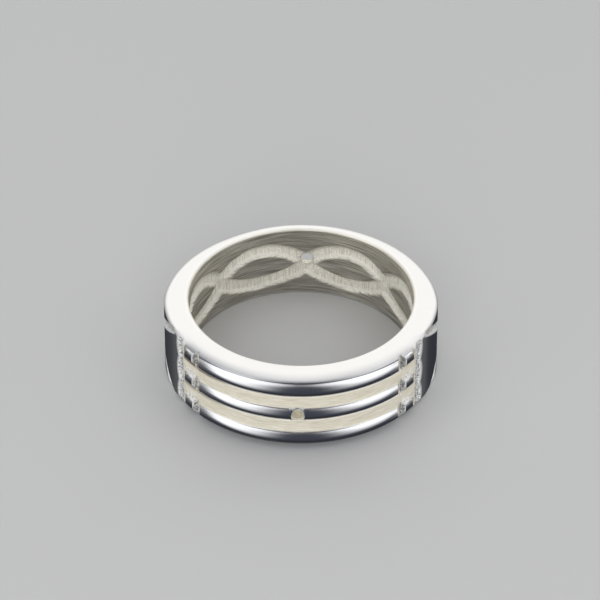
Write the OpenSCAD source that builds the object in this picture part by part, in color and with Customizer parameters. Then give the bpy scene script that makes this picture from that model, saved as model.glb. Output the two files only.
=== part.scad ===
// Cast band ring, lying on its side: the finger hole runs along Z and the front faces -Y.
// Three half-round bars cross the front and end at notches, each with a short stub behind it.
// Scalloped side panels run out in points towards the thinner back of the band,
// and crossing channels line the inside.

/* [Band] */
// Radius of the finger hole
finger_r = 9.5; // [8.5:0.25:10.5]
// Thickness of the band wall at the front
wall_t = 2.1; // [2:0.1:2.4]
// How much thinner the wall is at the back
back_thinning = 1.2; // [0:0.1:1.2]
// Height of the band from face to face
band_h = 6.9; // [6.8:0.1:7.6]
// Rounding of the outer shoulders
shoulder_r = 0.25; // [0.15:0.05:0.35]
// Rounding of the inner edges
inner_edge_r = 0.25; // [0.1:0.05:0.4]

/* [Bars] */
// Radius of a bar's round section
bar_r = 0.61; // [0.5:0.01:0.64]
// How far the bars stand proud of the band at the front
bar_proud = 0.54; // [0.4:0.02:0.56]
// How far forward the bars' circle lies, so that they sink in towards the sides
bar_set_off = 0.6; // [0:0.05:0.65]
// Height from the middle of one bar to the next
bar_pitch = 2.48; // [2.3:0.02:2.5]
// Angle from the front at which the bars are cut off
bar_end_a = 45.6; // [40:0.2:45.8]
// Angle at which the stubs end
stub_end_a = 55.4; // [53:0.2:56]

/* [Notches] */
// Height of the notch behind the end of a bar
notch_h = 1.58; // [1.3:0.02:1.7]
// Depth of the notch floor below the band's face
notch_d = 0.22; // [0.1:0.02:0.4]
// Length of the notch floor
notch_floor_l = 0.12; // [0.1:0.02:0.3]
// Angle between the stub's stippled end and the sideways direction
notch_lean_a = 22; // [15:1:45]

/* [Side panels] */
// Depth of the recessed column in front of the panel
column_d = 0.2; // [0.15:0.05:0.4]
// Angle of the scallop tips, where the panel begins
scallop_a = 62; // [60:0.1:63]
// Depth of one scallop, from its cusps to its tip
scallop_d = 0.3; // [0.2:0.02:0.4]
// Depth of a slanted groove along the edge of the panel
groove_d = 0.3; // [0.2:0.05:0.4]
// Width over which a slanted groove rises to the band's face
groove_w = 0.8; // [0.6:0.05:1]
// Angle at which the upper groove's edge line meets the upper face
groove_start_a = 61; // [60:0.5:62]
// Angle at which the panel comes to its point
panel_tip_a = 93.2; // [88:0.2:98]
// Angle at which the slanted grooves begin
groove_cut_a = 64.3; // [64:0.1:66]

/* [Inside channels] */
// Number of eye-shaped lands around the inside
eye_count = 8; // [7:1:8]
// Height of the pattern's middle above the middle of the band
pattern_rise = -0.2; // [-0.3:0.05:0.3]
// Turn of the pattern and of the back hole away from the middle line
pattern_turn = 1.2; // [-3:0.1:3]
// Height of one eye-shaped land
land_h = 2.08; // [1.6:0.04:2.2]
// Length of one eye-shaped land
land_l = 5.6; // [5.2:0.1:5.6]
// Width of the channels beside the middle of a land
channel_w = 1.24; // [0.8:0.02:1.3]
// Height of the opening where two channels cross
crossing_h = 2.24; // [1.6:0.04:2.4]
// Depth of the channels
channel_d = 0.4; // [0.2:0.05:0.5]

/* [Holes] */
// Diameter of the drilled holes at the front and at the back
hole_d = 1.02; // [0.6:0.02:1.1]

/* [Hidden] */
$fn = 96;
band_r = finger_r + wall_t;
half_h = band_h / 2;
bar_ring_r = band_r + bar_proud - bar_set_off - bar_r;
// Room left between the recessed column and each face of the band
face_rim = 0.25;
// Overshoot of every cutter past the face that it opens
over = 1;
reach = band_r + bar_proud + over;

// Sideways place of the upright planes that end the bars and the stubs
bar_end_x = band_r * sin(bar_end_a);
stub_end_x = band_r * sin(stub_end_a);
notch_foot_x = bar_end_x + notch_floor_l;
notch_floor_y = -sqrt(pow(band_r - notch_d, 2) - pow(notch_foot_x, 2));

// One scallop is an arc over a chord of one bar pitch
scallop_r = (pow(bar_pitch / 2, 2) + pow(scallop_d, 2)) / (2 * scallop_d);

// A slanted groove is laid out on the flat that touches the band at groove_mid_a
groove_mid_a = (groove_start_a + panel_tip_a) / 2;
groove_run = band_r * (sin(panel_tip_a - groove_mid_a) - sin(groove_start_a - groove_mid_a));
groove_tip_t = band_r * sin(panel_tip_a - groove_mid_a);
groove_slope_a = atan(half_h / groove_run);
groove_cut_x = band_r * sin(groove_cut_a);
groove_len = 2 * band_r;

// Its floor is a cone: it widens upwards, and its axis is set off towards the back
floor_rise = groove_d / groove_w;
floor_mid_r = band_r - groove_d;
floor_set_off = floor_mid_r * floor_rise * sin(groove_slope_a);
floor_widening = floor_rise * cos(groove_slope_a);
floor_mid_z = half_h * groove_tip_t / groove_run;

// One eye of the inside pattern spans one sector between two crossings
eye_a = 360 / eye_count;
// Neighbouring sectors overlap a little, so that no fin stays between them
sector_half_a = eye_a / 2 + 1;
crossing_t = finger_r * sin(eye_a / 2);
outer_swing = land_h / 2 + channel_w - crossing_h / 2;
outer_arc_r = arc_radius(crossing_t, outer_swing);
outer_arc_drop = outer_arc_r - land_h / 2 - channel_w;
land_arc_r = arc_radius(land_l / 2, land_h / 2);
land_arc_drop = land_arc_r - land_h / 2;
channel_floor_r = finger_r + channel_d;

// Radius of the circle through both ends of a chord and the top of its arc
function arc_radius(half_chord, rise) = (pow(half_chord, 2) + pow(rise, 2)) / (2 * rise);

// Places children at an angle from the front, x along the band, y towards the axis
module at_angle(a) {
  rotate([0, 0, a]) children();
}

module both_sides() {
  children();
  mirror([1, 0, 0]) children();
}

module both_halves() {
  children();
  mirror([0, 0, 1]) children();
}

// Places children at the height of each bar
module at_bars() {
  for (k = [-1, 0, 1])
    translate([0, 0, k * bar_pitch]) children();
}

// Section of the band, with rounded shoulders and inner edges
module band_section() {
  core_x = finger_r + inner_edge_r;
  core_w = wall_t - inner_edge_r - shoulder_r;
  inner_z = half_h - inner_edge_r;
  outer_z = half_h - shoulder_r;
  translate([core_x, -half_h]) square([core_w, band_h]);
  translate([finger_r, -inner_z]) square([inner_edge_r + core_w / 2, 2 * inner_z]);
  translate([core_x + core_w / 2, -outer_z]) square([core_w / 2 + shoulder_r, 2 * outer_z]);
  for (side = [-1, 1]) {
    translate([core_x, side * inner_z]) circle(r = inner_edge_r);
    translate([core_x + core_w, side * outer_z]) circle(r = shoulder_r);
  }
}

// Half section of a full disc with the same shoulders
module disc_section() {
  flat_r = band_r - shoulder_r;
  outer_z = half_h - shoulder_r;
  translate([0, -half_h]) square([flat_r, band_h]);
  translate([0, -outer_z]) square([band_r, 2 * outer_z]);
  for (side = [-1, 1])
    translate([flat_r, side * outer_z]) circle(r = shoulder_r);
}

// The disc sits forward of the finger hole, so it trims the back of the band
module plain_band() {
  intersection() {
    rotate_extrude() band_section();
    translate([0, -back_thinning, 0]) rotate_extrude() disc_section();
  }
}

// Three hoops of round wire, kept across the front as far as the stub ends
module bars() {
  intersection() {
    translate([0, -bar_set_off, 0])
      at_bars() rotate_extrude() translate([bar_ring_r, 0]) circle(r = bar_r);
    translate([-stub_end_x, -reach, -half_h]) cube([2 * stub_end_x, reach, band_h]);
  }
}

// Upright end of a bar, a short floor, then the leaning end of the stub
module notches() {
  rise = reach + notch_floor_y;
  at_bars()
    translate([0, 0, -notch_h / 2])
      linear_extrude(notch_h)
        polygon([
          [bar_end_x, notch_floor_y],
          [notch_foot_x, notch_floor_y],
          [notch_foot_x + rise / tan(notch_lean_a), -reach],
          [bar_end_x, -reach]
        ]);
}

// Three round cutters in a column, whose far sides make the scallops
module scallop_cutters() {
  at_angle(scallop_a)
    at_bars()
      translate([-scallop_r, -reach, 0])
        rotate([-90, 0, 0]) cylinder(r = scallop_r, h = reach - finger_r);
}

// Recessed column between the stubs and the side panel
module scalloped_column() {
  column_h = band_h - 2 * face_rim;
  intersection() {
    difference() {
      translate([stub_end_x, -reach, -column_h / 2]) cube([reach, reach, column_h]);
      cylinder(r = band_r - column_d, h = band_h, center = true);
    }
    scallop_cutters();
  }
}

// What lies above the upper groove's edge line, behind the plane where the groove begins
module above_edge_line() {
  intersection() {
    translate([groove_cut_x, -reach, 0]) cube([reach, 2 * reach, half_h + over]);
    at_angle(groove_mid_a)
      translate([groove_tip_t, -reach, 0])
        rotate([0, groove_slope_a, 0])
          translate([-groove_len, 0, 0]) cube([2 * groove_len, reach, groove_len]);
  }
}

// Floor of the upper groove: deepest along the edge line, level with the band a width away
module groove_floor() {
  low_z = -over;
  high_z = half_h + over;
  mid_r = sqrt(pow(floor_mid_r, 2) + pow(floor_set_off, 2));
  at_angle(groove_mid_a)
    translate([floor_set_off, 0, low_z])
      cylinder(
        h = high_z - low_z,
        r1 = mid_r + (low_z - floor_mid_z) * floor_widening,
        r2 = mid_r + (high_z - floor_mid_z) * floor_widening
      );
}

// Upper and lower slanted groove, meeting in a point behind the panel
module slanted_grooves() {
  both_halves()
    difference() {
      above_edge_line();
      groove_floor();
    }
}

// Eye outline: what two discs share, their middles apart along Z
module eye(arc_r, arc_drop) {
  intersection() {
    translate([0, arc_drop]) circle(r = arc_r);
    translate([0, -arc_drop]) circle(r = arc_r);
  }
}

// Plan of one eye's sector, out to beyond the channel floor
module eye_sector() {
  far = channel_floor_r + over;
  linear_extrude(band_h, center = true)
    polygon([
      [0, 0],
      [-far * tan(sector_half_a), -far],
      [far * tan(sector_half_a), -far]
    ]);
}

// Channels around one land, cut straight outwards
module eye_channels() {
  translate([0, -finger_r / 2, pattern_rise])
    rotate([90, 0, 0])
      linear_extrude(finger_r)
        difference() {
          eye(outer_arc_r, outer_arc_drop);
          eye(land_arc_r, land_arc_drop);
        }
}

module inside_channels() {
  intersection() {
    cylinder(r = channel_floor_r, h = band_h, center = true);
    for (k = [0 : eye_count - 1])
      at_angle((k + 0.5) * eye_a - pattern_turn)
        intersection() {
          eye_sector();
          eye_channels();
        }
  }
}

// One drilling at the front and one at the back, which is turned with the pattern
module holes() {
  for (a = [0, 180 - pattern_turn])
    at_angle(a)
      rotate([90, 0, 0]) cylinder(d = hole_d, h = reach);
}

module ring_band() {
  color("gainsboro")
    difference() {
      union() {
        plain_band();
        bars();
      }
      both_sides() {
        notches();
        scalloped_column();
        slanted_grooves();
      }
      inside_channels();
      holes();
    }
}

ring_band();
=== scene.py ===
import math

import bpy
import numpy as np
from mathutils import Matrix, Vector


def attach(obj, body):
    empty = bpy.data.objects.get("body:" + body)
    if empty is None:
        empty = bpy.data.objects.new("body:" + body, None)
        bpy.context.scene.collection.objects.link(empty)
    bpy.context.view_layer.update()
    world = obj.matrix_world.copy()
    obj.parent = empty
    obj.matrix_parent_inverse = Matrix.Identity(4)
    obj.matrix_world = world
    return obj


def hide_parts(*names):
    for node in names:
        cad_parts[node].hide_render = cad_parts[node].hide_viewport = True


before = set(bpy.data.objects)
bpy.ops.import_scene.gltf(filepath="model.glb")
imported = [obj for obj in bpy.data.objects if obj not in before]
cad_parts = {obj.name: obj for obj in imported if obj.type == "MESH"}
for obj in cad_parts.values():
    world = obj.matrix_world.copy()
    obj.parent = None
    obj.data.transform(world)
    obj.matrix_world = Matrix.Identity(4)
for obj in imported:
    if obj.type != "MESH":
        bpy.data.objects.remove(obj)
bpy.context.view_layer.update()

# Sizes are in millimetres and angles in degrees. Angles are measured round the finger
# hole from the front of the ring, which faces -Y, and grow towards +X. Heights are
# measured from the middle of the band.
MM = 0.001

HALF_H = 3.45
FINGER_R = 9.5
BAND_R = 11.6
BACK_THINNING = 1.2
BACK_BLEND = 0.12
INNER_EDGE = 0.25
LIP_OUT = 0.09
LIP_FALL = 0.08

# The rounding between the end faces and the outside, at the middle of the front, and what
# its width and height gain or lose towards the stubs, the sides and the back
CROWN_W = 1.05
CROWN_W_SIDE = -0.75
CROWN_W_BACK = 0.15
CROWN_DROP = 0.355
CROWN_DROP_STUBS = 0.035
CROWN_DROP_SIDE = -0.14
CROWN_DROP_BACK = 0.2

WORN_ANGLE = -144.0
WORN_SPREAD = 14.0
WORN_DEPTH = 0.16

BAR_R = 0.61
BAR_PROUD = 0.54
BAR_SET_OFF = 0.6
BAR_PITCH = 2.48
TOP_BAR_DROP = 0.06
BAR_END_X = 8.29
STUB_END_X = 9.55
UPPER_FILLET = 0.10
LOWER_FILLET = 0.02
RIDGE_TURN = 60.0
RIDGE_SPREAD = 4.0
RIDGE_RISE = 0.015

NOTCH_HALF_H = 0.79
NOTCH_FLOOR_R = 11.38
NOTCH_FOOT_X = 8.41
NOTCH_LEAN = 22.0

COLUMN_X = 9.68
COLUMN_R = 11.4
COLUMN_HALF_H = 3.2
COLUMN_EDGE_TURN = 1.05
SCALLOP_ANGLE = 62.0
SCALLOP_DEPTH = 0.3
SCALLOP_RISE = 0.012

GROOVE_R = 11.3
GROOVE_RISE = 0.375
GROOVE_START = 61.0
GROOVE_CUT_X = 10.45
GROOVE_BEAD = 0.02
PANEL_TIP = 93.2
LOWER_TIP_LEFT = 97.0
LOWER_TIP_RIGHT = 101.0

HOLE_R = 0.54
MOUTH_R = 0.575
BACK_HOLE_TURN = 1.6
CHANNEL_DEPTH = 0.4

# Angles from the front at which a form begins or ends. A pair is a soft change.
STUBS_NEAR = (38.0, 48.0)
TOP_BAR_RISES = (45.5, 47.0)
NOTCH_STARTS = (46.0, 46.6)
SQUARE_STARTS = (46.5, 47.5)
SQUARE_ENDS = (48.5, 54.5)
FACET_STARTS = (47.4, 47.7)
STUB_STARTS = (47.5, 48.0)
COLUMN_FRONT = 52.0
STRIP_STARTS = (55.2, 55.5)
FRONT_END = 58.0
SIDE_STARTS = (56.0, 66.0)
BACK_STARTS = (70.0, 120.0)
GROOVE_SPAN = (63.5, 112.0)
CUTS_END = 100.0

# How far to each side of its line a cut's wall leans. Inside, the walls that face up are
# steep, and those that face down are soft.
NOTCH_WALL = (-0.02, 0.03)
COLUMN_WALL = (-0.03, 0.03)
GROOVE_WALL = (-0.035, 0.035)
RIM_WALL_DOWN = (-0.10, 0.42)
RIM_WALL_UP = (-0.05, 0.13)
LAND_WALL_UP = (-0.13, 0.05)
LAND_WALL_DOWN = (-0.36, 0.08)

# Where the finishes, the painted shade and the painted highlights change, by angle from the front
LEFT_END = (24.0, 40.0)
LEFT_TO_RIGHT = (-30.0, 24.0)
FLOOR_EDGE_END = 46.0
FACET_EDGE_START = 47.6
SPRINKLE_STARTS = (47.5, 48.5)
SPRINKLE_ENDS = (54.5, 55.2)
SHADE_END = 56.0
FLOOR_END = 59.0
DARK_GROOVE_ANGLE = 69.6
SPARK_ANGLE = 80.5
BRIGHT_GROOVE_END = 84.0

# Where they change, by height over a bar's middle or, for the painted shade and the floor's
# painted highlight, by depth below it. The painted shade reaches further down at the left end.
SPRINKLE_FOOT = (0.48, 0.62)
SPRINKLE_TOP = (0.95, 1.24)
SHADE_TOP = (0.24, 0.38)
SHADE_FOOT = (0.59, 0.68)
SHADE_FOOT_LEFT = (0.14, 0.24)
FLOOR_EDGE = 0.71
FLOOR_EDGE_SPREAD = 0.06

# Radius beyond every surface, for places where nothing is cut
FAR = 1000.0


# Shape of the ring

def bell(x, width):
    return np.exp(-0.5 * (x / width) ** 2)


def ramp(x, low, high):
    """0 up to low, 1 from high on, smooth between them."""
    t = np.clip((x - low) / (high - low), 0.0, 1.0)
    return t * t * (3 - 2 * t)


def soft_min(a, b, k):
    """The lower of two values, with the corner between them rounded over k."""
    h = np.clip(0.5 + 0.5 * (b - a) / k, 0.0, 1.0)
    return b * (1 - h) + a * h - k * h * (1 - h)


def wrapped(angle):
    return (angle + 180.0) % 360.0 - 180.0


def arc_radius(half_chord, rise):
    """Radius of the arc that rises so far over the middle of its chord."""
    return (half_chord ** 2 + rise ** 2) / (2 * rise)


def band_radius(angle):
    """Outer radius of the plain band, which thins towards the back and is worn at one place."""
    a = np.radians(angle)
    back = BACK_THINNING * np.cos(a) + np.sqrt(BAND_R ** 2 - (BACK_THINNING * np.sin(a)) ** 2)
    wear_and_painted_shade = WORN_DEPTH * bell(wrapped(angle - WORN_ANGLE), WORN_SPREAD)
    return soft_min(BAND_R, back, BACK_BLEND) - wear_and_painted_shade


def plane_radius(angle, x):
    """Distance from the axis at which the upright plane x is crossed."""
    least = 0.05
    s = np.abs(np.sin(np.radians(angle)))
    front = np.abs(angle) < CUTS_END
    return np.where(front & (s > least), x / np.maximum(s, least), FAR)


def bar_offset(z):
    """Height above or below the nearest bar's middle."""
    row = np.clip(np.round(z / BAR_PITCH), -1, 1)
    return z - row * BAR_PITCH


def top_bar_drop(angle):
    """The top bar lies a little lower than an even pitch puts it. Its stubs don't."""
    return TOP_BAR_DROP * (1 - ramp(np.abs(angle), *TOP_BAR_RISES))


def bar_axis_radius(angle):
    a = np.radians(angle)
    hoop = BAND_R + BAR_PROUD - BAR_SET_OFF - BAR_R
    return BAR_SET_OFF * np.cos(a) + np.sqrt(hoop ** 2 - (BAR_SET_OFF * np.sin(a)) ** 2)


def bar_half_height(angle):
    """Half height of a bar where it meets the band."""
    least = 0.3
    sunk = band_radius(angle) - bar_axis_radius(angle)
    return np.sqrt(np.maximum(BAR_R ** 2 - sunk ** 2, least ** 2))


# power of a circle, and of a curve with squarer corners
ROUND_POWER = 2.0
SQUARE_POWER = 5.0


def bars_radius(angle, dz):
    """Outer radius of the bars and the stubs, or 0 where there are none."""
    side = np.abs(angle)
    # round, but the cut end of each stub has a square upper corner
    square = (dz > 0) * ramp(side, *SQUARE_STARTS) * (1 - ramp(side, *SQUARE_ENDS))
    power = ROUND_POWER + (SQUARE_POWER - ROUND_POWER) * square
    across = np.clip(np.abs(dz) / BAR_R, 0.0, 1.0)
    bars = bar_axis_radius(angle) + BAR_R * (1 - across ** power) ** (1 / power)
    bars = np.where(np.abs(dz) < BAR_R, bars, 0.0)
    bars = np.minimum(bars, plane_radius(angle, STUB_END_X))
    return np.where(side < FRONT_END, bars, 0.0)


def facet_radius(angle):
    """The stub's leaning end, as seen from the axis."""
    least = 0.05
    lean = math.radians(NOTCH_LEAN)
    foot_y = math.sqrt(NOTCH_FLOOR_R ** 2 - NOTCH_FOOT_X ** 2)
    reach = foot_y * math.cos(lean) - NOTCH_FOOT_X * math.sin(lean)
    c = np.cos(np.radians(np.abs(angle)) + lean)
    return np.where(c > least, reach / np.maximum(c, least), FAR)


def scallop_angle(z):
    """Angle at which the side panel begins, for each height."""
    r = arc_radius(BAR_PITCH / 2, SCALLOP_DEPTH)
    back = r - np.sqrt(np.maximum(r * r - bar_offset(z) ** 2, 0.0))
    return SCALLOP_ANGLE - np.degrees(back / BAND_R)


def crown_width(angle):
    """Width of the rounding between the end faces and the outside."""
    side = np.abs(angle)
    return CROWN_W + CROWN_W_SIDE * ramp(side, *SIDE_STARTS) + CROWN_W_BACK * ramp(side, *BACK_STARTS)


def crown_drop(angle):
    """Height of the same rounding."""
    side = np.abs(angle)
    drop = CROWN_DROP + CROWN_DROP_STUBS * ramp(side, *STUBS_NEAR)
    drop = drop + CROWN_DROP_SIDE * ramp(side, *SIDE_STARTS)
    return drop + CROWN_DROP_BACK * ramp(side, *BACK_STARTS)


# Tilt of the rounding's surface in front, by share of its width. It is steepest at the edge.
CROWN_TURN = 22.0
CROWN_EDGE_TURN = 33.0
CROWN_EDGE_SHARE = 0.84
CROWN_SHARE = np.linspace(0.0, 1.0, 201)
CROWN_TILT = CROWN_TURN * CROWN_SHARE + CROWN_EDGE_TURN * ramp(CROWN_SHARE, CROWN_EDGE_SHARE, 1.0)
CROWN_SLOPE = np.tan(np.radians(CROWN_TILT))
CROWN_FALL = np.cumsum(CROWN_SLOPE) / np.sum(CROWN_SLOPE)


def crown_fall(angle, share):
    """Fall of the rounding at a share of its width. On the sides and the back it is an arc."""
    width, drop = crown_width(angle), crown_drop(angle)
    bend = arc_radius(width, drop)
    arc = bend - np.sqrt(bend ** 2 - (width * share) ** 2)
    beside = ramp(np.abs(angle), *SIDE_STARTS)
    return arc * beside + drop * np.interp(share, CROWN_SHARE, CROWN_FALL) * (1 - beside)


def edge_radius(angle, z):
    """Outer radius at the foot of the rounding. The upper one stands out a little, as a low lip."""
    base = band_radius(angle)
    rise = np.maximum(bar_axis_radius(angle) + LIP_OUT - base, 0.0)
    return base + np.where((np.abs(angle) < FRONT_END) & (z > 0), rise, 0.0)


def uncut_radius(angle, z, dz, bars):
    """Outer radius of the band with its bars, before anything is cut."""
    base = band_radius(angle)
    fillet = np.where(dz > 0, UPPER_FILLET, LOWER_FILLET) * (np.abs(angle) < FRONT_END)
    surface = -soft_min(-base, -bars, np.maximum(fillet, 0.001))
    # valley between the upper lip and the top bar
    edge_z = HALF_H - crown_drop(angle)
    lip = edge_radius(angle, z) - base
    return np.maximum(surface, base + lip * ramp(np.abs(z), edge_z - LIP_FALL, edge_z))


# Unevenness of the cut edges outside and of the channels' edges inside, as waves: the depth,
# and the turn for each millimetre of height and for each degree round the ring
CUT_WAVES = ((0.006, 9.1, 0.31), (0.005, 23.0, -0.17))
CHANNEL_WAVES = ((0.02, 2.1, 0.5), (0.012, -3.0, 1.7))


def wobble(waves, angle, z):
    return sum(depth * np.sin(up * z + along * angle) for depth, up, along in waves)


def stubs(angle, dz, bars):
    """Where the stubs are, and the fine ridge along the upper side of each."""
    side = np.abs(angle)
    turn = np.degrees(np.arcsin(np.clip(dz / BAR_R, -1.0, 1.0)))
    raised = (side < FRONT_END) & (np.abs(dz) < BAR_R) & (bars > band_radius(angle) - 0.05)
    on_stub = ramp(side, *STUB_STARTS) * raised
    return on_stub, bell(turn - RIDGE_TURN, RIDGE_SPREAD) * on_stub


def notches(surface, angle, dz, uneven):
    """Depth of the notch behind each bar, and where its floor, its facet and the facet's edge are. The
    facet's edge gets a painted highlight.
    """
    side = np.abs(angle)
    in_front = side < FRONT_END
    across = ramp(NOTCH_HALF_H + uneven - np.abs(dz), *NOTCH_WALL)
    cut = np.maximum(NOTCH_FLOOR_R + 4 * uneven, plane_radius(angle, BAR_END_X))
    cut = np.where(in_front, np.maximum(cut, facet_radius(angle)), FAR)
    depth = np.maximum(surface - cut, 0.0) * across
    in_notch = ramp(depth, 0.004, 0.03)
    facet = in_notch * ramp(side, *FACET_STARTS)
    floor = in_notch * (1 - ramp(side, *FACET_STARTS)) * ramp(side, *NOTCH_STARTS)
    edge = bell(depth - 0.03, 0.035) * ramp(depth, 0.0, 0.01) * (side > FACET_EDGE_START) * in_front
    return depth, in_notch, floor, facet, edge


def columns(surface, angle, z, uneven):
    """Depth of the stippled column, and the scalloped front edge of the panel behind it."""
    side = np.abs(angle)
    edge = scallop_angle(z) + 6 * uneven
    across = 1 - ramp(side, edge - COLUMN_EDGE_TURN, edge)
    across = across * ramp(COLUMN_HALF_H - np.abs(z), *COLUMN_WALL)
    cut = np.maximum(COLUMN_R + 5 * uneven, plane_radius(angle, COLUMN_X + 3 * uneven))
    depth = np.maximum(surface - cut, 0.0) * across * (side > COLUMN_FRONT)
    scallop = bell(side - edge, 0.35) * (np.abs(z) < COLUMN_HALF_H)
    return depth, scallop


def groove_offset(angle, z):
    """Distance past the panel's slanted edge, into the groove."""
    slope = HALF_H / (math.radians(PANEL_TIP - GROOVE_START) * BAND_R)
    lean = math.cos(math.atan(slope))
    lower_tip = np.where(angle > 0, LOWER_TIP_RIGHT, LOWER_TIP_LEFT)
    tip = np.where(z > 0, PANEL_TIP, lower_tip)
    line = slope * np.radians(tip - np.abs(angle)) * BAND_R
    return (np.abs(z) - line) * lean


def grooves(surface, angle, z):
    """Depth of the grooves above and below the panel, where their bead is, and the highlights and the shade
    painted on them.
    """
    side = np.abs(angle)
    off = groove_offset(angle, z)
    active = (side > GROOVE_SPAN[0]) & (side < GROOVE_SPAN[1])
    cut = np.maximum(GROOVE_R + GROOVE_RISE * np.maximum(off, 0.0), plane_radius(angle, GROOVE_CUT_X))
    depth = np.where(active, np.maximum(surface - cut, 0.0) * ramp(off, *GROOVE_WALL), 0.0)
    bead = np.where(active & (z < 0), bell(off - 0.03, 0.06), 0.0)
    on_groove = ramp(depth, 0.008, 0.03)
    # painted highlights: bright lines along the grooves' edges, a glint in the upper groove and a bright
    # band on the lower groove's floor
    upper = bell(off + 0.03, 0.04) + 1.4 * bell(side - SPARK_ANGLE, 1.5) * bell(off - 0.28, 0.16)
    lower = 1.4 * bell(off, 0.075) + 1.3 * ramp(off, 0.3, 0.45) * (1 - ramp(off, 0.62, 0.72))
    bright = np.where(active, np.where(z > 0, upper, lower * (side < BRIGHT_GROOVE_END)), 0.0)
    # painted shade: a dark line across the upper groove near its front end
    dark = 0.6 * bell(side - DARK_GROOVE_ANGLE, 0.7) * on_groove * (z > 0)
    return depth, bead, on_groove, bright, dark


def painted_bar_shade(angle, z, dz, top_row, facet):
    """Painted shade in brown along the underside of the bars, deepest at the left."""
    left_end = ramp(-angle, *LEFT_END)
    starts = ramp(-dz, *SHADE_TOP)
    ends = ramp(-dz, *(foot + more * left_end for foot, more in zip(SHADE_FOOT, SHADE_FOOT_LEFT)))
    shade = starts * (1 - ends) * (np.abs(angle) < SHADE_END) * (1 - facet) * (z > -BAR_PITCH - 0.3)
    return shade * (1.25 - 0.85 * ramp(angle, *LEFT_TO_RIGHT)) * np.where(top_row, 1.0, 0.7)


def painted_floor_highlight(angle, z, dz):
    """Painted highlight along the upper edge of the matte floor, below the painted shade."""
    on_floor = (np.abs(angle) < FLOOR_EDGE_END) * (z > -BAR_PITCH / 2)
    return 0.5 * bell(dz + FLOOR_EDGE, FLOOR_EDGE_SPREAD) * on_floor * (1 - ramp(-angle, *LEFT_END))


def over_stubs(angle, z, dz, facet):
    """Light stippling on the floor above each stub but the top one."""
    side = np.abs(angle)
    band = ramp(dz, *SPRINKLE_FOOT) * (1 - ramp(dz, *SPRINKLE_TOP)) * (z < BAR_PITCH / 2)
    return band * ramp(side, *SPRINKLE_STARTS) * (1 - ramp(side, *SPRINKLE_ENDS)) * (1 - facet)


def outside(angle, z, crown=None):
    """Outer radius, and how much of each finish the surface has there.

    On the rounding below an end face, crown is the radius before the cuts are made.
    """
    side = np.abs(angle)
    uneven = wobble(CUT_WAVES, angle, z)
    top_row = z > BAR_PITCH / 2
    dz = bar_offset(z) + top_bar_drop(angle) * top_row
    bars = bars_radius(angle, dz)
    surface = uncut_radius(angle, z, dz, bars) if crown is None else crown

    on_stub, ridge = stubs(angle, dz, bars)
    surface = surface + RIDGE_RISE * ridge
    depth, in_notch, notch_floor, facet, painted_facet_highlight = notches(surface, angle, dz, uneven)
    surface = surface - depth
    depth, scallop = columns(surface, angle, z, uneven)
    surface = surface - depth + SCALLOP_RISE * scallop
    on_column = ramp(depth, 0.01, 0.05)
    depth, bead, on_groove, painted_groove_highlight, painted_groove_shade = grooves(surface, angle, z)
    surface = surface - depth + GROOVE_BEAD * bead

    on_bar = ramp(bars - band_radius(angle), 0.01, 0.05)
    between = (1 - on_bar) * (1 - in_notch) * (1 - on_column) * (side < FLOOR_END)
    floor = between * ramp(BAR_PITCH - np.abs(z), 0.0, 0.02)
    strip = between * ramp(side, *STRIP_STARTS) * ramp(COLUMN_HALF_H - np.abs(z), *COLUMN_WALL)
    # painted shade on the stubs' leaning facets, more on the top row and at the right
    painted_facet_shade = facet * (1 - painted_facet_highlight) * (0.35 + 0.25 * top_row + 0.25 * (angle > 0))
    # painted highlights along the scallops, the grooves, the facets' edges, the stubs' ridges and the
    # floor's upper edge
    edges = 0.7 * scallop + painted_groove_highlight + painted_facet_highlight + 0.7 * ridge + painted_floor_highlight(angle, z, dz)
    masks = {
        "matte": np.clip(np.maximum(floor, strip) + notch_floor, 0, 1),
        "stipple": np.clip(facet + on_column + 0.6 * over_stubs(angle, z, dz, facet), 0, 1),
        "groove": on_groove,
        # painted shade under the bars, across the upper groove and on the facets
        "painted_shade": painted_bar_shade(angle, z, dz, top_row, facet) + painted_groove_shade + painted_facet_shade,
        "lip": np.clip(edges, 0, 1.4),
        # painted shade: the top stub at the left drawn in darker silver
        "painted_silver_shade": 0.7 * on_stub * top_row * (angle < 0) * (1 - facet),
    }
    return surface, masks


# Inside pattern: one eye between each two crossings. Angles are taken from the back.
CROSSINGS = np.array([-180.0, -134.0, -89.0, -46.9, 1.0, 46.0, 90.0, 135.0])
PATTERN_Z = -0.2
LAND_HALF_H = 1.04
LAND_TIP_GAP = 0.83
CHANNEL_W = 1.24
CROSSING_HALF_H = 1.12


def inside_arc(along, height, half_chord, rise):
    """Distance inside a flat arc. Along and height are measured from the middle of its chord."""
    radius = arc_radius(half_chord, rise)
    return radius - np.hypot(along, height + radius - rise)


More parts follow.
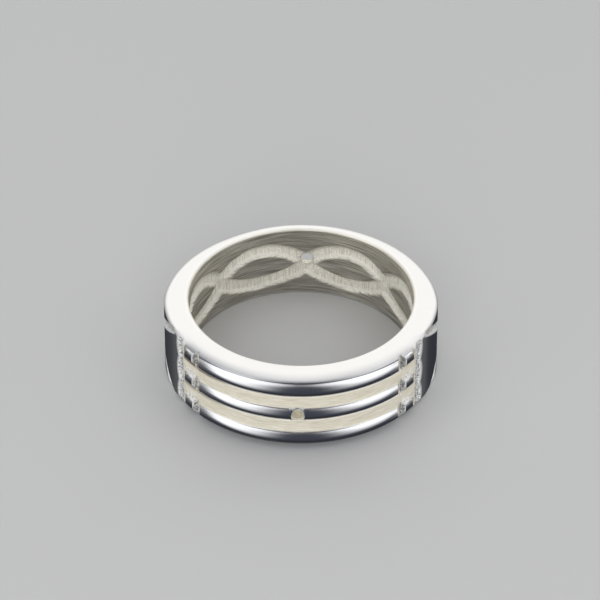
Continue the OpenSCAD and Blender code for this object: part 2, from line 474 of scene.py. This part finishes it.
def inside(angle, z):
    """Inner radius, and how much of each finish the surface has there."""
    from_back = wrapped(180.0 - angle)
    ends = np.append(CROSSINGS[1:], CROSSINGS[0] + 360.0)
    k = np.clip(np.searchsorted(CROSSINGS, from_back, side="right") - 1, 0, len(CROSSINGS) - 1)
    middle = (CROSSINGS[k] + ends[k]) / 2
    half = np.radians((ends[k] - CROSSINGS[k]) / 2) * FINGER_R
    t = np.abs(np.radians(from_back - middle)) * FINGER_R
    h = np.abs(z - PATTERN_Z)
    uneven = wobble(CHANNEL_WAVES, from_back, z)
    rise = LAND_HALF_H + CHANNEL_W - CROSSING_HALF_H
    in_outer = inside_arc(t, h - CROSSING_HALF_H, half, rise) + uneven
    in_land = inside_arc(t, h, half - LAND_TIP_GAP, LAND_HALF_H) + 0.7 * uneven

    # the rim's wall faces down and the land's faces up above the pattern's middle
    above = z > PATTERN_Z
    cut = np.where(above, ramp(in_outer, *RIM_WALL_DOWN), ramp(in_outer, *RIM_WALL_UP))
    land = np.where(above, ramp(in_land, *LAND_WALL_UP), ramp(in_land, *LAND_WALL_DOWN))
    channel = cut * (1 - land)
    radius = FINGER_R + CHANNEL_DEPTH * channel
    # painted highlights on the walls that face up
    wall = np.where(above, bell(in_land + 0.05, 0.08), bell(in_outer - 0.05, 0.08))
    wall = wall * ramp(channel, 0.0, 0.2)
    # painted shade on the outer part of the upper channels, under the walls that face down
    shaded = np.where(above, (1 - ramp(in_outer, 0.25, 0.75)) * ramp(channel, 0.0, 0.4), 0.0)
    # painted shade on the lands above the back hole
    painted_shade_over_hole = 0.5 * bell(from_back - 1.0, 9.0) * ramp(z, 0.9, 1.7) * (1 - channel)
    masks = {"channel": ramp(channel, 0.0, 0.7), "wall": wall, "painted_shade": shaded + painted_shade_over_hole}
    return radius, masks


# Sampling the surface

def points(angle, radius, height):
    a = np.radians(angle)
    return np.stack([radius * np.sin(a), -radius * np.cos(a), height], axis=-1)


def spaced(start, end, pitch):
    n = max(1, int(round((end - start) / pitch)))
    return list(np.linspace(start, end, n, endpoint=False))


def both_sides(spans):
    """Angles all round, starting at the back, with the right side's pitches used on both."""
    right = []
    for start, end, pitch in spans:
        right += spaced(start, end, pitch)
    right = np.array(right)
    return np.concatenate([[-180.0], -right[:0:-1], right])


# start, end and pitch of the mesh columns: close together where the forms are small
OUTER_SPANS = (
    (0.0, 42.4, 0.45),
    (42.4, 46.0, 0.2),
    (46.0, 49.4, 0.14),
    (49.4, 59.0, 0.32),
    (59.0, 70.0, 0.22),
    (70.0, 102.0, 0.38),
    (102.0, 180.0, 1.3),
)
INNER_SPANS = ((0.0, 180.0, 0.7),)

# The rows follow the bars at the front and are even behind them.
BAR_ROWS = 13
BAR_TURN = 83.0
GAP_ROWS = 9
END_SHARES = (0.0, 0.25, 0.5, 0.75)
ROWS_EVEN_OUT = (57.5, 61.0)
INNER_ROWS = 63
CROWN_STEPS = 8
ARC_STEPS = 5
FACE_LAP = 0.06

# How much of each finish or shade a point has
MASKS = ("matte", "stipple", "groove", "painted_shade", "lip", "channel", "wall", "end_face", "painted_silver_shade")


def bar_rows(angle):
    """Heights of the mesh rows on the outside, from the upper rounding to the lower one."""
    junction = bar_half_height(angle)
    start = HALF_H - crown_drop(angle)
    top = BAR_PITCH - top_bar_drop(angle)
    rows = [start + (top + junction - start) * f for f in END_SHARES]
    turn = np.linspace(1, -1, BAR_ROWS) * BAR_TURN
    bar_steps = np.sin(np.radians(turn)) / math.sin(math.radians(BAR_TURN))
    for centre, below in ((top, 0.0), (0.0, -BAR_PITCH), (-BAR_PITCH, None)):
        rows += [centre + s * junction for s in bar_steps]
        if below is not None:
            gap_top = centre - junction
            gap_low = below + junction
            rows += [gap_top + (gap_low - gap_top) * f for f in np.linspace(0, 1, GAP_ROWS + 2)[1:-1]]
    rows += [-start + (start - BAR_PITCH - junction) * f for f in END_SHARES[::-1]]
    rows = np.array(rows)
    even = np.linspace(1, -1, len(rows))[:, None] * start[None, :]
    blend = ramp(np.abs(angle), *ROWS_EVEN_OUT)[None, :]
    return rows * (1 - blend) + even * blend


class Shell:
    """Rows of points from the upper end face, along one side of the wall, to the lower end face."""

    def __init__(self, angles):
        self.angles = angles
        self.radius, self.height = [], []
        self.masks = {name: [] for name in MASKS}

    def add(self, radius, height, masks):
        shape = self.angles.shape
        self.radius.append(np.broadcast_to(radius, shape))
        self.height.append(np.broadcast_to(height, shape))
        for name in MASKS:
            self.masks[name].append(np.broadcast_to(masks.get(name, 0.0), shape))

    def close(self):
        self.radius = np.array(self.radius)
        self.height = np.array(self.height)
        self.masks = {name: np.array(rows) for name, rows in self.masks.items()}
        self.grid = points(self.angles[None, :], self.radius, self.height)
        return self


def quarter_turns(steps):
    return [math.pi / 2 * i / steps for i in range(steps)]


def painted_crown_shade(angles):
    """Painted shade on the rounding in front, strongest near the ends of the bars and less at the right."""
    side = np.abs(angles)
    wear_and_painted_shade = (0.3 + 0.7 * ramp(side, 2.0, 42.0)) * (1 - ramp(side, 50.0, 58.0))
    return wear_and_painted_shade * (1 - 0.55 * ramp(angles, 14.0, 38.0))


def outer_shell():
    shell = Shell(both_sides(OUTER_SPANS))
    angles = shell.angles
    width = crown_width(angles)
    wear_and_painted_shade = painted_crown_shade(angles)
    turns = quarter_turns(CROWN_STEPS)

    def crown(turn, sign, lap=0.0):
        share = math.sin(turn)
        height = sign * (HALF_H - crown_fall(angles, share))
        radius, masks = outside(angles, height, edge_radius(angles, sign) - width * (1 - share) - lap)
        masks["end_face"] = (1 - ramp(turn, 1.2, 1.55)) * (1 - masks["groove"]) * (1 - masks["stipple"])
        # painted shade: darker silver on the outer part of the rounding
        masks["painted_silver_shade"] = wear_and_painted_shade * ramp(share, 0.2, 1.1)
        return radius, height, masks

    shell.add(*crown(0.0, 1, FACE_LAP))
    for turn in turns:
        shell.add(*crown(turn, 1))
    for height in bar_rows(angles):
        radius, masks = outside(angles, height)
        shell.add(radius, height, masks)
    for turn in turns[::-1]:
        shell.add(*crown(turn, -1))
    shell.add(*crown(0.0, -1, FACE_LAP))
    return shell.close()


def inner_shell():
    shell = Shell(both_sides(INNER_SPANS))
    rim = FINGER_R + INNER_EDGE
    wall_top = HALF_H - INNER_EDGE
    turns = quarter_turns(ARC_STEPS)

    def rounded(turn, sign):
        # a painted highlight in pale cream along the middle of the inner rounding
        masks = {"end_face": 1 - ramp(turn, 0.2, 1.4), "lip": 0.6 * math.sin(2 * turn)}
        return rim - INNER_EDGE * math.sin(turn), sign * (wall_top + INNER_EDGE * math.cos(turn)), masks

    shell.add(rim + FACE_LAP, HALF_H, {"end_face": 1.0})
    for turn in turns:
        shell.add(*rounded(turn, 1))
    for z in np.linspace(wall_top, -wall_top, INNER_ROWS):
        height = np.full(len(shell.angles), z)
        radius, masks = inside(shell.angles, height)
        shell.add(radius, height, masks)
    for turn in turns[::-1]:
        shell.add(*rounded(turn, -1))
    shell.add(rim + FACE_LAP, -HALF_H, {"end_face": 1.0})
    return shell.close()


# A drilled hole bends a block of mesh cells that lies round it, so many cells to each side.
# Those up to the hole's edge are taken out. The cells' old places are looked up a little
# further out, as far as REACH.
HOLE_CELLS = 5
BLOCK_CELLS = 8
REACH = 12
HOLE_ANGLES = (0.0, 180.0 - BACK_HOLE_TURN)
MOUTH_SLOPE = 0.7


def open_hole(shell, surface, hole_angle, hole_height):
    """Bends the shell's mesh round a drilled hole. Returns the cells that it takes out and its edge."""
    rows, cols, _ = shell.grid.shape
    column = int(np.argmin(np.abs(wrapped(shell.angles - hole_angle))))
    heights = np.array(shell.height[:, column])
    row = REACH + int(np.argmin(np.abs(heights[REACH:-REACH] - hole_height)))
    radius = float(shell.radius[row, column])
    near = range(-REACH, REACH + 1)
    turns = [float(wrapped(shell.angles[(column + q) % cols] - hole_angle)) for q in near]
    levels = [float(heights[row + q] - hole_height) for q in near]
    spots = []
    for j in range(1 - BLOCK_CELLS, BLOCK_CELLS):
        for i in range(1 - BLOCK_CELLS, BLOCK_CELLS):
            k = max(abs(i), abs(j))
            out = BLOCK_CELLS / k if k else 0.0
            x = math.radians(np.interp(i * out, near, turns)) * radius
            z = np.interp(j * out, near, levels)
            length = max(math.hypot(x, z), 1e-6)
            if k > HOLE_CELLS:
                t = (k - HOLE_CELLS - 1) / (BLOCK_CELLS - HOLE_CELLS - 1)
                place = MOUTH_R / length * (1 - t) + t
            else:
                place = HOLE_R / length * k / HOLE_CELLS
            spots.append((row + j, (column + i) % cols, x * place, z * place))
    j, i, x, z = np.array(spots).T
    j, i = j.astype(int), i.astype(int)
    angle, height = hole_angle + np.degrees(x / radius), hole_height + z
    new_radius, masks = surface(angle, height)
    reach = np.hypot(x, z)
    inward = -1.0 if surface is outside else 1.0
    new_radius = new_radius + inward * MOUTH_SLOPE * np.clip(MOUTH_R - reach, 0.0, MOUTH_R - HOLE_R)
    shell.grid[j, i] = points(angle, new_radius, height)
    for name in MASKS:
        shell.masks[name][j, i] = masks.get(name, 0.0)
    mouth = ramp(MOUTH_R - reach, 0.0, 0.03)
    shell.masks["painted_shade"][j, i] = shell.masks["painted_shade"][j, i] * (1 - mouth)
    burr = mouth if surface is outside else 1 - ramp(reach, MOUTH_R + 0.02, MOUTH_R + 0.22)
    shell.masks["matte"][j, i] = np.maximum(shell.masks["matte"][j, i], burr)

    n = HOLE_CELLS
    cells = {(row + j, (column + i) % cols) for j in range(-n, n) for i in range(-n, n)}
    steps = range(-n, n)
    edge = [(-n, i) for i in steps] + [(j, n) for j in steps]
    edge += [(n, -i) for i in steps] + [(-j, -n) for j in steps]
    return cells, [(row + j) * cols + (column + i) % cols for j, i in edge]


def wall_faces(shell, first, taken, inward):
    rows, cols, _ = shell.grid.shape
    faces = []
    for j in range(rows - 1):
        for i in range(cols):
            if (j, i) not in taken:
                n = (i + 1) % cols
                face = (j * cols + i, (j + 1) * cols + i, (j + 1) * cols + n, j * cols + n)
                faces.append(tuple(first + v for v in (face[::-1] if inward else face)))
    return faces


def end_face(outer_angles, inner_angles, first_outer, first_inner, up):
    """Triangles of a flat end face, between two rings with different numbers of points."""
    n_outer, n_inner = len(outer_angles), len(inner_angles)
    outer = np.append(outer_angles, outer_angles[0] + 360)
    inner = np.append(inner_angles, inner_angles[0] + 360)
    faces, i, j = [], 0, 0
    while i < n_outer or j < n_inner:
        a, b = first_outer + i % n_outer, first_inner + j % n_inner
        if j == n_inner or (i < n_outer and outer[i + 1] <= inner[j + 1]):
            i += 1
            face = (a, first_outer + i % n_outer, b)
        else:
            j += 1
            face = (a, first_inner + j % n_inner, b)
        faces.append(face if up else face[::-1])
    return faces


BORE_STEPS = 7


def bore(outer_edge, inner_edge, verts, first_new):
    """Wall of a drilled hole, from its edge outside to its edge inside."""
    count = len(outer_edge)
    rings = [outer_edge]
    new = []
    for s in range(1, BORE_STEPS):
        f = s / BORE_STEPS
        rings.append([first_new + len(new) + c for c in range(count)])
        new += list(verts[outer_edge] * (1 - f) + verts[inner_edge] * f)
    rings.append(inner_edge)
    faces = []
    for here, there in zip(rings, rings[1:]):
        for c in range(count):
            d = (c + 1) % count
            faces.append((here[d], here[c], there[c], there[d]))
    return faces, new


def closed_surface(outer, inner):
    """Points of the whole ring, and its faces outside, inside and in the drilled holes."""
    n_outer = outer.height.size
    taken_out, taken_in, edges = set(), set(), []
    for hole_angle in HOLE_ANGLES:
        cells, edge_out = open_hole(outer, outside, hole_angle, 0.0)
        taken_out |= cells
        cells, edge_in = open_hole(inner, inside, hole_angle, 0.0)
        taken_in |= cells
        edges.append((edge_out, [n_outer + v for v in edge_in]))

    verts = np.concatenate([outer.grid.reshape(-1, 3), inner.grid.reshape(-1, 3)])
    outside_faces = wall_faces(outer, 0, taken_out, False)
    inside_faces = wall_faces(inner, n_outer, taken_in, True)
    last_outer = n_outer - len(outer.angles)
    last_inner = len(verts) - len(inner.angles)
    outside_faces += end_face(outer.angles, inner.angles, 0, n_outer, True)
    outside_faces += end_face(outer.angles, inner.angles, last_outer, last_inner, False)
    bore_faces, bore_verts = [], []
    for edge_out, edge_in in edges:
        faces, new = bore(edge_out, edge_in, verts, len(verts) + len(bore_verts))
        bore_faces += faces
        bore_verts += new
    verts = np.concatenate([verts, np.array(bore_verts)])
    return verts, (outside_faces, inside_faces, bore_faces)


def ring_mesh(outer, inner):
    """One closed mesh, with a finish for each kind of face and the masks on its points."""
    verts, kinds_of_face = closed_surface(outer, inner)
    faces = sum(kinds_of_face, [])
    # points inside a hole's edge belong to no face, so they are dropped
    used = np.zeros(len(verts), bool)
    for face in faces:
        used[list(face)] = True
    number = np.cumsum(used) - 1
    faces = [tuple(int(number[v]) for v in face) for face in faces]

    mesh = bpy.data.meshes.new("cast_ring")
    mesh.from_pydata((verts[used] * MM).tolist(), [], faces)
    slots = np.repeat([0, 1, 2], [len(kind) for kind in kinds_of_face])
    mesh.polygons.foreach_set("material_index", slots)
    bore_values = np.zeros(len(verts) - outer.height.size - inner.height.size)
    for name in MASKS:
        values = np.concatenate([outer.masks[name].ravel(), inner.masks[name].ravel(), bore_values])
        layer = mesh.attributes.new(name, "FLOAT", "POINT")
        layer.data.foreach_set("value", values[used].astype(np.float32))
    mesh.shade_smooth()
    mesh.validate()
    return mesh


# Finishes

class Value:
    """A socket, with arithmetic."""

    def __init__(self, nodes, socket):
        self.nodes = nodes
        self.socket = socket

    def maths(self, operation, *numbers, clamp=False):
        settings = {"operation": operation, "use_clamp": clamp}
        return self.nodes.add("ShaderNodeMath", settings, dict(enumerate(numbers)))

    def __add__(self, other):
        return self.maths("ADD", self, other)

    def __sub__(self, other):
        return self.maths("SUBTRACT", self, other)

    def __rsub__(self, other):
        return self.maths("SUBTRACT", other, self)

    def __mul__(self, other):
        return self.maths("MULTIPLY", self, other)

    __radd__ = __add__

    def limited(self):
        return self.maths("ADD", self, 0.0, clamp=True)

    def size(self):
        return self.maths("ABSOLUTE", self)

    def between(self, low, high):
        """0 up to low, 1 from high on, smooth between them."""
        return self.nodes.add(
            "ShaderNodeMapRange", {"interpolation_type": "SMOOTHSTEP"},
            {"Value": self, "From Min": low, "From Max": high}, "Result")


class Nodes:
    def __init__(self, tree):
        self.tree = tree

    def add(self, kind, settings, values, output=0):
        node = self.tree.nodes.new(kind)
        for name, value in settings.items():
            setattr(node, name, value)
        self.put(node, values)
        return Value(self, node.outputs[output])

    def put(self, node, values):
        for name, value in values.items():
            if isinstance(value, Value):
                self.tree.links.new(value.socket, node.inputs[name])
            else:
                node.inputs[name].default_value = value

    def mix(self, factor, first, second):
        colours = [c if isinstance(c, Value) else (*c, 1.0) for c in (first, second)]
        return self.add(
            "ShaderNodeMix", {"data_type": "RGBA"}, {0: factor, 6: colours[0], 7: colours[1]}, 2)

    def where(self, x, y, z, turn=(0.0, 0.0, 0.0)):
        """Place on the ring in millimetres, stretched by a factor along each axis."""
        place = self.add("ShaderNodeTexCoord", {}, {}, "Object")
        return self.add(
            "ShaderNodeMapping", {},
            {"Vector": place, "Rotation": turn, "Scale": (x / MM, y / MM, z / MM)})

    def noise(self, where, scale, detail=3.0, roughness=0.55):
        return self.add(
            "ShaderNodeTexNoise", {},
            {"Vector": where, "Scale": scale, "Detail": detail, "Roughness": roughness}, "Fac")

    def cells(self, where, scale):
        return self.add("ShaderNodeTexVoronoi", {}, {"Vector": where, "Scale": scale}, "Distance")

    def mask(self, name):
        return self.add("ShaderNodeAttribute", {"attribute_name": name}, {}, "Fac")

    def bump(self, height, strength, distance):
        return self.add(
            "ShaderNodeBump", {}, {"Height": height, "Strength": strength, "Distance": distance * MM})


def finish(name, make):
    """A material whose look is what make says for the shader's sockets."""
    material = bpy.data.materials.new(name)
    material.use_nodes = True
    nodes = Nodes(material.node_tree)
    nodes.put(material.node_tree.nodes["Principled BSDF"], make(nodes))
    return material


SILVER = (0.93, 0.93, 0.935)
DULL_SILVER = (0.84, 0.84, 0.85)
PAINTED_SHADE_SILVER = (0.46, 0.47, 0.49)
END_SILVER = (0.96, 0.955, 0.94)
HIGHLIGHT_WHITE = (0.98, 0.98, 0.97)
CREAM = (0.80, 0.74, 0.58)
PALE_CREAM = (1.0, 0.955, 0.83)
WHITE_GRAIN = (1.0, 1.0, 0.98)
GREY_GRAIN = (0.62, 0.62, 0.60)
DARK_SPECK = (0.15, 0.15, 0.15)
DULL_GROOVE = (0.50, 0.50, 0.46)
PALE_GROOVE = (0.92, 0.91, 0.86)
SHADE_BROWN = (0.16, 0.12, 0.08)
SHADE_GREY = (0.12, 0.12, 0.115)


def stippled(m, grains, specks, painted_shade):
    """Colour of the stipple, with fewer white specks and more dark ones where shade is painted on the ends
    of the stubs.
    """
    shaded = specks - painted_shade * 0.09
    colour = m.mix(grains.between(0.2, 0.65), WHITE_GRAIN, GREY_GRAIN)
    colour = m.mix(shaded.between(0.49, 0.40) * 0.85, colour, DARK_SPECK)
    return m.mix(shaded.between(0.51, 0.58), colour, WHITE_GRAIN)


def silver_outside(m):
    matte, stipple, groove = m.mask("matte"), m.mask("stipple"), m.mask("groove")
    painted_shade, lip, end = m.mask("painted_shade"), m.mask("lip"), m.mask("end_face")
    even = m.where(1, 1, 1)
    cloud = m.noise(even, 0.45)
    fine = m.noise(even, 9.0, 4.0, 0.6)
    grains = m.cells(even, 6.0)
    specks = m.noise(even, 6.5, 2.5, 0.7)
    filed = m.noise(m.where(0.5, 0.5, 9.0, (0.35, 0.2, 0.0)), 1.6, 4.0, 0.6)
    brushed = m.noise(m.where(0.35, 0.35, 14.0), 1.3, 3.0, 0.6)

    colour = m.mix(cloud.between(0.35, 0.7) * 0.4, SILVER, DULL_SILVER)
    colour = m.mix(matte.limited(), colour, m.mix(filed.between(0.35, 0.7), CREAM, PALE_CREAM))
    colour = m.mix(stipple.limited(), colour, stippled(m, grains, specks, painted_shade))
    colour = m.mix(groove.limited(), colour, m.mix(specks.between(0.4, 0.6), DULL_GROOVE, PALE_GROOVE))
    colour = m.mix(end.limited(), colour, END_SILVER)
    # painted shade: darker silver on the front rounding's outer part and on the top stub at the left
    colour = m.mix((m.mask("painted_silver_shade") * 0.8).limited(), colour, PAINTED_SHADE_SILVER)
    # painted highlights: near-white lines along edges and a glint in the upper groove
    colour = m.mix((lip * 0.9).limited(), colour, HIGHLIGHT_WHITE)
    # painted shade: brown under the bars and in the upper groove, dark grey on the stippled facets
    shade = m.mix(stipple.limited(), SHADE_BROWN, SHADE_GREY)
    colour = m.mix((painted_shade * (0.85 - stipple * 0.2)).limited(), colour, shade)

    rough = 0.15 + cloud * 0.04 + brushed * 0.03 + end * 0.32
    rough = rough + matte * (0.36 + fine * 0.12) + stipple * 0.2 + groove * 0.3
    metal = 1.0 - matte * 0.8 - stipple * 0.8 - groove * 0.75 - lip * 0.7 - painted_shade * 0.6
    height = filed * matte * 0.9 + fine * matte * 0.5 + fine * groove * 0.6
    height = height + (1.0 - grains) * stipple * 2.6 + specks * stipple * 3.0 + specks * groove * 1.5
    height = height + brushed * 0.04 + cloud * 0.1
    return {
        "Base Color": colour,
        "Roughness": rough.limited(),
        "Metallic": metal.limited(),
        "Normal": m.bump(height, 0.75, 0.035),
    }


LAND_LINES = ((0.46, 0.43, 0.35), (1.0, 0.96, 0.84))
LAND_SHADOWS = ((0.34, 0.32, 0.26), (0.72, 0.68, 0.57))
FROST = ((1.0, 0.98, 0.89), (0.80, 0.77, 0.68))
FROST_STREAK = (0.60, 0.58, 0.50)
CHANNEL_SHADE = ((0.62, 0.60, 0.52), (0.38, 0.36, 0.30))
WALL_HIGHLIGHT = (0.97, 0.95, 0.88)
BURR = ((1.0, 0.98, 0.92), (0.55, 0.53, 0.48))
INNER_HIGHLIGHT = (0.96, 0.93, 0.84)


def silver_inside(m):
    channel, wall, shaded, burr = m.mask("channel"), m.mask("wall"), m.mask("painted_shade"), m.mask("matte")
    end, lip = m.mask("end_face"), m.mask("lip")
    even = m.where(1, 1, 1)
    cloud = m.noise(even, 0.4)
    fine = m.noise(even, 10.0, 4.0, 0.6)
    lines = m.noise(m.where(0.22, 0.22, 11.0), 1.4, 5.0, 0.62)
    broad = m.noise(m.where(0.12, 0.12, 2.6), 1.2)
    upright = m.noise(m.where(6.0, 6.0, 0.5), 1.3, 3.0, 0.6)
    frost = m.cells(even, 7.0)

    land = m.mix(lines.between(0.36, 0.62), *LAND_LINES)
    shadows = m.mix(lines.between(0.4, 0.6), *LAND_SHADOWS)
    land = m.mix(broad.between(0.45, 0.62) * 0.6, land, shadows)
    frosted = m.mix(frost.between(0.1, 0.6), *FROST)
    frosted = m.mix(upright.between(0.48, 0.60) * 0.75, frosted, FROST_STREAK)
    colour = m.mix(channel.limited(), land, frosted)
    # painted shade in the upper channels and on the lands above the back hole
    colour = m.mix((shaded * 0.75).limited(), colour, m.mix(frost, *CHANNEL_SHADE))
    # painted highlights on the walls that face up
    colour = m.mix((wall * 0.75).limited(), colour, WALL_HIGHLIGHT)
    colour = m.mix(burr.limited(), colour, m.mix(frost.between(0.1, 0.6), *BURR))
    colour = m.mix(end.limited(), colour, END_SILVER)
    # a painted highlight in pale cream along the inner rounding
    colour = m.mix((lip * 1.2).limited(), colour, INNER_HIGHLIGHT)

    polished = (1.0 - end).limited()
    rough = 0.40 + polished * (lines * 0.14 - 0.07 + channel * 0.22) + cloud * 0.04
    height = lines * (1.0 - channel).limited() * polished * 1.6
    height = height + (1.0 - frost) * (channel * 1.8 + burr * 3.0) + upright * channel * 1.4
    height = height + cloud * end * 0.1 + fine * end * 0.04
    return {
        "Base Color": colour,
        "Roughness": rough.limited(),
        "Metallic": (1.0 - polished * 0.25 - channel * 0.7 - lip - burr * 0.7).limited(),
        "Normal": m.bump(height, 0.7, 0.03),
    }


DRILLED = ((0.70, 0.66, 0.52), (1.0, 0.97, 0.85))


def silver_drilled(m):
    rings = m.noise(m.where(1.0, 8.0, 1.0), 1.4)
    fine = m.noise(m.where(1, 1, 1), 6.0)
    return {
        "Base Color": m.mix(fine.between(0.35, 0.65), *DRILLED),
        "Roughness": 0.4 + fine * 0.2,
        "Metallic": 0.2,
        "Normal": m.bump(rings + fine * 0.5, 0.5, 0.03),
    }


mesh = ring_mesh(outer_shell(), inner_shell())
for name, make in (
    ("silver_outside", silver_outside),
    ("silver_inside", silver_inside),
    ("silver_drilled", silver_drilled),
):
    mesh.materials.append(finish(name, make))
ring = bpy.data.objects.new("cast_ring", mesh)
bpy.context.scene.collection.objects.link(ring)
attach(ring, "root")
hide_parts("ring_band")


# Stage, light and camera

# half width of the floor, in metres
FLOOR_HALF = 1.5
FLOOR_GREYS = ((0.55, 0.55, 0.55), (0.51, 0.51, 0.51))


def pale_matt(m):
    grain = m.noise(m.where(0.02, 0.02, 0.02), 1.0)
    return {"Base Color": m.mix(grain * 0.3, *FLOOR_GREYS), "Roughness": 0.6}


def pale_floor():
    corners = ((-1, -1), (1, -1), (1, 1), (-1, 1))
    places = [(x * FLOOR_HALF, y * FLOOR_HALF, -HALF_H * MM) for x, y in corners]
    sheet = bpy.data.meshes.new("floor")
    sheet.from_pydata(places, [], [(0, 1, 2, 3)])
    sheet.materials.append(finish("pale_floor", pale_matt))
    floor = bpy.data.objects.new("floor", sheet)
    bpy.context.scene.collection.objects.link(floor)
    floor.visible_glossy = False
    return floor


floor = pale_floor()

# A soft white tent stands round the ring. It is open in front, as a tall wedge that
# closes behind the top, and dark below the horizon.
WEDGE_TURNS = (22.0, 112.0)
WEDGE_CLOSES = (112.0, 130.0)
WEDGE_SHIFT = 0.05
TENT_WHITE = (1.19, 1.20, 1.22)
BACK_WHITE = (1.16, 1.15, 1.13)
OPENING_GREY = (0.046, 0.051, 0.066)
BELOW_GREY = (0.026, 0.027, 0.032)
BEHIND_GREY = (0.030, 0.032, 0.039)


def tent_opening(x, y, z):
    """The wedge in front, which narrows towards the top."""
    over = z.maths("ARCTAN2", z, 0.0 - y) * (180.0 / math.pi)
    low = 1.0 - over.between(*WEDGE_TURNS)
    off_axis = (x - low * WEDGE_SHIFT).size()
    opening = 1.0 - off_axis.between(low * 0.24 - 0.03, low * 0.68 + 0.14)
    return opening * (1.0 - over.between(*WEDGE_CLOSES))


def tent_stands(x, y, z, left, right):
    """Something dark on each side, less of it at the right."""
    stand = (y - z * 0.4 - x * 0.05).between(-0.46, -0.22) * (1.0 - y.between(0.35, 0.55))
    stand = stand * (1.0 - (z - y * 0.7).between(0.61, 0.73)) * x.size().between(0.35, 0.6)
    return stand * (1.0 - right * 0.85 - left * 0.3)


def tent_brightness(x, y, z, left, right):
    """How bright the tent is, from dark below to white above. The sides stay bright further down."""
    glow = y.between(0.25, 0.4) * (1.0 - y.between(0.46, 0.62)) * x.size().between(0.4, 0.55)
    above = z - x * 0.2 + right * 0.4 + left * 0.2 + glow * (x * 0.25 + 0.3)
    above = above - y.between(-0.35, 0.1) * 0.2 + y.between(0.2, 0.6) * 0.12
    return above.between(-0.76, 0.60)


def tent(m):
    direction = m.add("ShaderNodeTexCoord", {}, {}, "Generated")
    x, y, z = (m.add("ShaderNodeSeparateXYZ", {}, {"Vector": direction}, axis) for axis in "XYZ")
    left = (0.0 - x).between(0.55, 0.85) * y.between(-0.1, 0.08) * (1.0 - y.between(0.16, 0.4))
    right = x.between(0.55, 0.85) * y.between(-0.3, 0.0) * (1.0 - y.between(0.12, 0.4))
    stands = tent_stands(x, y, z, left, right)
    # the tent is greyer behind on the left
    grey = (0.0 - x).between(0.2, 0.5) * y.between(0.3, 0.6) * (1.0 - z.between(0.35, 0.6))
    cloth = (1.0 - tent_opening(x, y, z)) * (1.0 - stands * 0.93) * (1.0 - grey * 0.35)
    bright = cloth * tent_brightness(x, y, z, left, right)
    dark = m.mix(z.between(-1.0, -0.35), BELOW_GREY, OPENING_GREY)
    dark = m.mix(y.between(-0.2, 0.3), dark, BEHIND_GREY)
    white = m.mix(y.between(0.1, 0.6), TENT_WHITE, BACK_WHITE)
    return {"Color": m.mix(bright.limited(), dark, white)}


world = bpy.data.worlds.new("tent")
world.use_nodes = True
sky = Nodes(world.node_tree)
sky.put(world.node_tree.nodes["Background"], tent(sky))
bpy.context.scene.world = world
bpy.context.scene.view_settings.view_transform = "Standard"

# A soft lamp behind the camera lights the matte parts. It doesn't show in the polished ones.
# Its place and size are in metres.
LAMP_PLACE = (0.0, -0.66, 0.26)
LAMP_TILT = 68.5
LAMP_SIZE = 0.5
LAMP_WATTS = 2.8
lamp_data = bpy.data.lights.new("soft_lamp", "AREA")
lamp_data.size = LAMP_SIZE
lamp_data.energy = LAMP_WATTS
lamp = bpy.data.objects.new("soft_lamp", lamp_data)
lamp.location = LAMP_PLACE
lamp.rotation_euler = (math.radians(LAMP_TILT), 0.0, 0.0)
lamp.visible_glossy = False
bpy.context.scene.collection.objects.link(lamp)

# The camera looks down at the lying ring from the front, a little off its middle line.
# Its pitch is in radians, and its nearest and furthest reach in metres.
CAMERA_PLACE = (-0.0901, -255.382, 196.115)
CAMERA_PITCH = 0.6476034
CAMERA_TURN = 1.3
CAMERA_LENS = 227.458
CAMERA_SENSOR = 36.0
CAMERA_REACH = (0.01, 20.0)
camera_data = bpy.data.cameras.new("camera")
camera_data.sensor_width = CAMERA_SENSOR
camera_data.lens = CAMERA_LENS
camera_data.clip_start, camera_data.clip_end = CAMERA_REACH
camera = bpy.data.objects.new("camera", camera_data)
bpy.context.scene.collection.objects.link(camera)
camera.matrix_world = (
    Matrix.Rotation(math.radians(CAMERA_TURN), 4, "Z")
    @ Matrix.Translation(Vector(CAMERA_PLACE) * MM)
    @ Matrix.Rotation(math.pi / 2 - CAMERA_PITCH, 4, "X"))
bpy.context.scene.camera = camera
